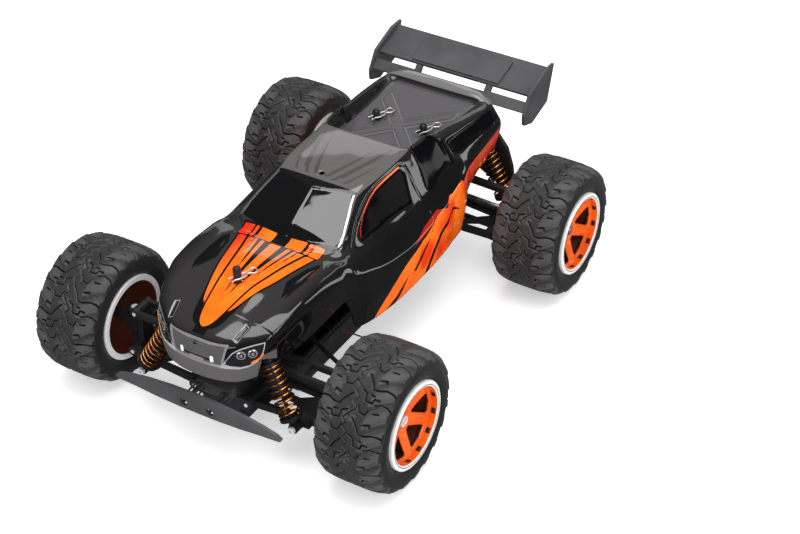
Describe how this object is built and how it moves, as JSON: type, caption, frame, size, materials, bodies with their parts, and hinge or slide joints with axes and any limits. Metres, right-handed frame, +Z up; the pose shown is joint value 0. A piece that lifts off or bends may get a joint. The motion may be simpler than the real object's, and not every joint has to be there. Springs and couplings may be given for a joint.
{
  "type": "radio-controlled truck",
  "caption": "Radio-controlled off-road truck with steered front wheels, geared rear drive, coil-spring suspension, a clipped-on body shell and a rear wing.",
  "frame": {"origin": "centre of the footprint at ground level", "axes": "+Z up, -Y towards the nose, +X towards the truck's left side"},
  "size_m": [0.2906, 0.3957, 0.144],
  "materials": {
    "black_plastic": "satin moulded nylon",
    "chassis_plastic": "satin moulded plastic",
    "painted_shell": "gloss clear-backed polycarbonate, black with orange flames",
    "wing_plastic": "fine satin grain",
    "tyre_rubber": "matte rubber",
    "wheel_orange": "gloss orange with a chromed lip",
    "spring_copper": "coppered spring steel",
    "bright_steel": "plated steel",
    "battery_wrap": "shrink wrap",
    "receiver_case": "satin",
    "damper_black": "satin",
    "gear_nylon": "natural nylon"
  },
  "bodies": {
    "chassis": {"chassis_tub": "chassis_plastic", "front_bumper": "wing_plastic", "shock_towers": "black_plastic", "rear_gearbox_case": "black_plastic", "drive_motor": "bright_steel", "steering_servo": "black_plastic", "battery_pack": "battery_wrap", "receiver_antenna": "receiver_case", "body_posts": "black_plastic", "body_shell": "painted_shell", "rear_wing": "wing_plastic", "chassis_screws": "bright_steel"},
    "steering_arm": {"steering_arm": "black_plastic"},
    "front_lower_arm_left": {"front_lower_arm_left": "black_plastic"},
    "front_upper_arm_left": {"front_upper_arm_left": "black_plastic"},
    "front_c_hub_left": {"front_c_hub_left": "black_plastic"},
    "front_shock_body_left": {"front_shock_body_left": "damper_black", "front_spring_left": "spring_copper"},
    "front_shock_rod_left": {"front_shock_rod_left": "damper_black"},
    "front_knuckle_left": {"front_knuckle_left": "black_plastic"},
    "front_wheel_left": {"front_tyre_left": "tyre_rubber", "front_rim_left": "wheel_orange"},
    "tie_ball_left": {"tie_ball_left": "bright_steel"},
    "tie_rod_left": {"tie_rod_left": "black_plastic"},
    "rear_lower_arm_left": {"rear_lower_arm_left": "black_plastic"},
    "rear_upper_link_left": {"rear_upper_link_left": "black_plastic"},
    "rear_upright_left": {"rear_upright_left": "black_plastic"},
    "rear_shock_body_left": {"rear_shock_body_left": "damper_black", "rear_spring_left": "spring_copper"},
    "rear_shock_rod_left": {"rear_shock_rod_left": "damper_black"},
    "rear_half_shaft_left": {"rear_half_shaft_left": "bright_steel"},
    "rear_wheel_left": {"rear_tyre_left": "tyre_rubber", "rear_rim_left": "wheel_orange", "rear_axle_left": "bright_steel"},
    "front_lower_arm_right": {"front_lower_arm_right": "black_plastic"},
    "front_upper_arm_right": {"front_upper_arm_right": "black_plastic"},
    "front_c_hub_right": {"front_c_hub_right": "black_plastic"},
    "front_shock_body_right": {"front_shock_body_right": "damper_black", "front_spring_right": "spring_copper"},
    "front_shock_rod_right": {"front_shock_rod_right": "damper_black"},
    "front_knuckle_right": {"front_knuckle_right": "black_plastic"},
    "front_wheel_right": {"front_tyre_right": "tyre_rubber", "front_rim_right": "wheel_orange"},
    "tie_ball_right": {"tie_ball_right": "bright_steel"},
    "tie_rod_right": {"tie_rod_right": "black_plastic"},
    "rear_lower_arm_right": {"rear_lower_arm_right": "black_plastic"},
    "rear_upper_link_right": {"rear_upper_link_right": "black_plastic"},
    "rear_upright_right": {"rear_upright_right": "black_plastic"},
    "rear_shock_body_right": {"rear_shock_body_right": "damper_black", "rear_spring_right": "spring_copper"},
    "rear_shock_rod_right": {"rear_shock_rod_right": "damper_black"},
    "rear_half_shaft_right": {"rear_half_shaft_right": "bright_steel"},
    "rear_wheel_right": {"rear_tyre_right": "tyre_rubber", "rear_rim_right": "wheel_orange", "rear_axle_right": "bright_steel"},
    "diff_gear": {"diff_gear": "gear_nylon"},
    "motor_pinion": {"motor_pinion": "bright_steel"},
    "battery_door": {"battery_door": "black_plastic"},
    "power_switch": {"power_switch": "black_plastic"},
    "body_clips": {"body_clips": "bright_steel"}
  },
  "joints": [
    {"name": "steering_turn", "type": "hinge", "parent": "chassis", "child": "steering_arm", "pos_m": [0, -0.1043, 0.045], "axis": [0, 0, 1], "range_deg": [-20, 20], "stiffness_Nm_per_rad": 0.2},
    {"name": "front_suspension_left", "type": "hinge", "parent": "chassis", "child": "front_lower_arm_left", "pos_m": [0.022, -0.1443, 0.036], "axis": [0, -1, 0], "range_deg": [0, 16], "stiffness_Nm_per_rad": 1, "springref_deg": -22.92, "deforming": ["front_spring_left"]},
    {"name": "front_upper_arm_left_pivot", "type": "hinge", "parent": "chassis", "child": "front_upper_arm_left", "pos_m": [0.022, -0.1443, 0.066], "axis": [0, -1, 0], "range_deg": [0, 16]},
    {"name": "front_c_hub_left_pivot", "type": "hinge", "parent": "front_lower_arm_left", "child": "front_c_hub_left", "pos_m": [0.084, -0.1443, 0.034], "axis": [0, -1, 0], "range_deg": [-16, 0]},
    {"name": "front_shock_body_left_pivot", "type": "hinge", "parent": "chassis", "child": "front_shock_body_left", "pos_m": [0.037, -0.1633, 0.086], "axis": [0, -1, 0], "range_deg": [-0.01, 5.23]},
    {"name": "front_shock_rod_left_pivot", "type": "hinge", "parent": "front_lower_arm_left", "child": "front_shock_rod_left", "pos_m": [0.064, -0.1713, 0.036], "axis": [0, -1, 0], "range_deg": [-10.79, 0.01]},
    {"name": "front_steer_left", "type": "hinge", "parent": "front_c_hub_left", "child": "front_knuckle_left", "pos_m": [0.09, -0.1443, 0.05], "axis": [0, 0, 1], "range_deg": [-20, 20]},
    {"name": "front_wheel_spin_left", "type": "hinge", "parent": "front_knuckle_left", "child": "front_wheel_left", "pos_m": [0.1183, -0.1443, 0.052], "axis": [1, 0, 0], "continuous": true},
    {"name": "tie_ball_turn_left", "type": "hinge", "parent": "steering_arm", "child": "tie_ball_left", "pos_m": [0.0035, -0.0863, 0.052], "axis": [0, 0, 1], "range_deg": [-21, 21]},
    {"name": "tie_rod_swing_left", "type": "hinge", "parent": "tie_ball_left", "child": "tie_rod_left", "pos_m": [0.0035, -0.0863, 0.052], "axis": [0, -1, 0], "range_deg": [0, 16]},
    {"name": "rear_suspension_left", "type": "hinge", "parent": "chassis", "child": "rear_lower_arm_left", "pos_m": [0.022, 0.1117, 0.036], "axis": [0, -1, 0], "range_deg": [0, 16], "stiffness_Nm_per_rad": 1, "springref_deg": -22.92, "deforming": ["rear_spring_left"]},
    {"name": "rear_upper_link_left_pivot", "type": "hinge", "parent": "chassis", "child": "rear_upper_link_left", "pos_m": [0.022, 0.1237, 0.062], "axis": [0, -1, 0], "range_deg": [0, 16]},
    {"name": "rear_upright_left_pivot", "type": "hinge", "parent": "rear_lower_arm_left", "child": "rear_upright_left", "pos_m": [0.08, 0.1117, 0.034], "axis": [0, -1, 0], "range_deg": [-16, 0]},
    {"name": "rear_shock_body_left_pivot", "type": "hinge", "parent": "chassis", "child": "rear_shock_body_left", "pos_m": [0.04, 0.1387, 0.09], "axis": [0, -1, 0], "range_deg": [-0.01, 3.79]},
    {"name": "rear_shock_rod_left_pivot", "type": "hinge", "parent": "rear_lower_arm_left", "child": "rear_shock_rod_left", "pos_m": [0.064, 0.1387, 0.038], "axis": [0, -1, 0], "range_deg": [-12.23, 0.01]},
    {"name": "rear_half_shaft_left_swing", "type": "hinge", "parent": "chassis", "child": "rear_half_shaft_left", "pos_m": [0.021, 0.1117, 0.054], "axis": [0, -1, 0], "range_deg": [0, 16]},
    {"name": "rear_wheel_spin_left", "type": "hinge", "parent": "rear_upright_left", "child": "rear_wheel_left", "pos_m": [0.1147, 0.1117, 0.052], "axis": [1, 0, 0], "continuous": true},
    {"name": "front_suspension_right", "type": "hinge", "parent": "chassis", "child": "front_lower_arm_right", "pos_m": [-0.022, -0.1443, 0.036], "axis": [0, 1, 0], "range_deg": [0, 16], "stiffness_Nm_per_rad": 1, "springref_deg": -22.92, "deforming": ["front_spring_right"]},
    {"name": "front_upper_arm_right_pivot", "type": "hinge", "parent": "chassis", "child": "front_upper_arm_right", "pos_m": [-0.022, -0.1443, 0.066], "axis": [0, 1, 0], "range_deg": [0, 16]},
    {"name": "front_c_hub_right_pivot", "type": "hinge", "parent": "front_lower_arm_right", "child": "front_c_hub_right", "pos_m": [-0.084, -0.1443, 0.034], "axis": [0, 1, 0], "range_deg": [-16, 0]},
    {"name": "front_shock_body_right_pivot", "type": "hinge", "parent": "chassis", "child": "front_shock_body_right", "pos_m": [-0.037, -0.1633, 0.086], "axis": [0, 1, 0], "range_deg": [-0.01, 5.23]},
    {"name": "front_shock_rod_right_pivot", "type": "hinge", "parent": "front_lower_arm_right", "child": "front_shock_rod_right", "pos_m": [-0.064, -0.1713, 0.036], "axis": [0, 1, 0], "range_deg": [-10.79, 0.01]},
    {"name": "front_steer_right", "type": "hinge", "parent": "front_c_hub_right", "child": "front_knuckle_right", "pos_m": [-0.09, -0.1443, 0.05], "axis": [0, 0, 1], "range_deg": [-20, 20]},
    {"name": "front_wheel_spin_right", "type": "hinge", "parent": "front_knuckle_right", "child": "front_wheel_right", "pos_m": [-0.1183, -0.1443, 0.052], "axis": [1, 0, 0], "continuous": true},
    {"name": "tie_ball_turn_right", "type": "hinge", "parent": "steering_arm", "child": "tie_ball_right", "pos_m": [-0.0035, -0.0863, 0.04], "axis": [0, 0, 1], "range_deg": [-21, 21]},
    {"name": "tie_rod_swing_right", "type": "hinge", "parent": "tie_ball_right", "child": "tie_rod_right", "pos_m": [-0.0035, -0.0863, 0.04], "axis": [0, 1, 0], "range_deg": [0, 16]},
    {"name": "rear_suspension_right", "type": "hinge", "parent": "chassis", "child": "rear_lower_arm_right", "pos_m": [-0.022, 0.1117, 0.036], "axis": [0, 1, 0], "range_deg": [0, 16], "stiffness_Nm_per_rad": 1, "springref_deg": -22.92, "deforming": ["rear_spring_right"]},
    {"name": "rear_upper_link_right_pivot", "type": "hinge", "parent": "chassis", "child": "rear_upper_link_right", "pos_m": [-0.022, 0.1237, 0.062], "axis": [0, 1, 0], "range_deg": [0, 16]},
    {"name": "rear_upright_right_pivot", "type": "hinge", "parent": "rear_lower_arm_right", "child": "rear_upright_right", "pos_m": [-0.08, 0.1117, 0.034], "axis": [0, 1, 0], "range_deg": [-16, 0]},
    {"name": "rear_shock_body_right_pivot", "type": "hinge", "parent": "chassis", "child": "rear_shock_body_right", "pos_m": [-0.04, 0.1387, 0.09], "axis": [0, 1, 0], "range_deg": [-0.01, 3.79]},
    {"name": "rear_shock_rod_right_pivot", "type": "hinge", "parent": "rear_lower_arm_right", "child": "rear_shock_rod_right", "pos_m": [-0.064, 0.1387, 0.038], "axis": [0, 1, 0], "range_deg": [-12.23, 0.01]},
    {"name": "rear_half_shaft_right_swing", "type": "hinge", "parent": "chassis", "child": "rear_half_shaft_right", "pos_m": [-0.021, 0.1117, 0.054], "axis": [0, 1, 0], "range_deg": [0, 16]},
    {"name": "rear_wheel_spin_right", "type": "hinge", "parent": "rear_upright_right", "child": "rear_wheel_right", "pos_m": [-0.1147, 0.1117, 0.052], "axis": [1, 0, 0], "continuous": true},
    {"name": "diff_gear_spin", "type": "hinge", "parent": "chassis", "child": "diff_gear", "pos_m": [0, 0.1117, 0.054], "axis": [1, 0, 0], "continuous": true},
    {"name": "motor_pinion_spin", "type": "hinge", "parent": "chassis", "child": "motor_pinion", "pos_m": [0, 0.0857, 0.054], "axis": [1, 0, 0], "continuous": true},
    {"name": "battery_door_swing", "type": "hinge", "parent": "chassis", "child": "battery_door", "pos_m": [0, 0.0279, 0.0186], "axis": [1, 0, 0], "range_deg": [0, 85], "stiffness_Nm_per_rad": 0.1, "springref_deg": -40.11},
    {"name": "power_switch_slide", "type": "slide", "parent": "chassis", "child": "power_switch", "axis": [0, 1, 0], "range_m": [0, 0.004], "stiffness_N_per_m": 5},
    {"name": "body_clips_pull", "type": "slide", "parent": "chassis", "child": "body_clips", "axis": [0.4226, 0.9063, 0], "range_m": [0, 0.015], "stiffness_N_per_m": 20}
  ],
  "couplings": [
    {"joint": "front_upper_arm_left_pivot", "follows": "front_suspension_left", "ratio": 1},
    {"joint": "front_c_hub_left_pivot", "follows": "front_suspension_left", "ratio": -1},
    {"joint": "front_shock_body_left_pivot", "follows": "front_suspension_left", "ratio": 0.32627},
    {"joint": "front_shock_rod_left_pivot", "follows": "front_suspension_left", "ratio": -0.67373},
    {"joint": "front_steer_left", "follows": "steering_turn", "ratio": 1},
    {"joint": "tie_ball_turn_left", "follows": "steering_turn", "ratio": -1.0326},
    {"joint": "tie_rod_swing_left", "follows": "front_suspension_left", "ratio": 0.71544},
    {"joint": "rear_upper_link_left_pivot", "follows": "rear_suspension_left", "ratio": 1},
    {"joint": "rear_upright_left_pivot", "follows": "rear_suspension_left", "ratio": -1},
    {"joint": "rear_shock_body_left_pivot", "follows": "rear_suspension_left", "ratio": 0.23618},
    {"joint": "rear_shock_rod_left_pivot", "follows": "rear_suspension_left", "ratio": -0.76382},
    {"joint": "rear_half_shaft_left_swing", "follows": "rear_suspension_left", "ratio": 1},
    {"joint": "rear_wheel_spin_left", "follows": "diff_gear_spin", "ratio": 1},
    {"joint": "front_upper_arm_right_pivot", "follows": "front_suspension_right", "ratio": 1},
    {"joint": "front_c_hub_right_pivot", "follows": "front_suspension_right", "ratio": -1},
    {"joint": "front_shock_body_right_pivot", "follows": "front_suspension_right", "ratio": 0.32627},
    {"joint": "front_shock_rod_right_pivot", "follows": "front_suspension_right", "ratio": -0.67373},
    {"joint": "front_steer_right", "follows": "steering_turn", "ratio": 1},
    {"joint": "tie_ball_turn_right", "follows": "steering_turn", "ratio": -1.0326},
    {"joint": "tie_rod_swing_right", "follows": "front_suspension_right", "ratio": 0.71544},
    {"joint": "rear_upper_link_right_pivot", "follows": "rear_suspension_right", "ratio": 1},
    {"joint": "rear_upright_right_pivot", "follows": "rear_suspension_right", "ratio": -1},
    {"joint": "rear_shock_body_right_pivot", "follows": "rear_suspension_right", "ratio": 0.23618},
    {"joint": "rear_shock_rod_right_pivot", "follows": "rear_suspension_right", "ratio": -0.76382},
    {"joint": "rear_half_shaft_right_swing", "follows": "rear_suspension_right", "ratio": 1},
    {"joint": "rear_wheel_spin_right", "follows": "diff_gear_spin", "ratio": 1},
    {"joint": "motor_pinion_spin", "follows": "diff_gear_spin", "ratio": -3.3333}
  ]
}
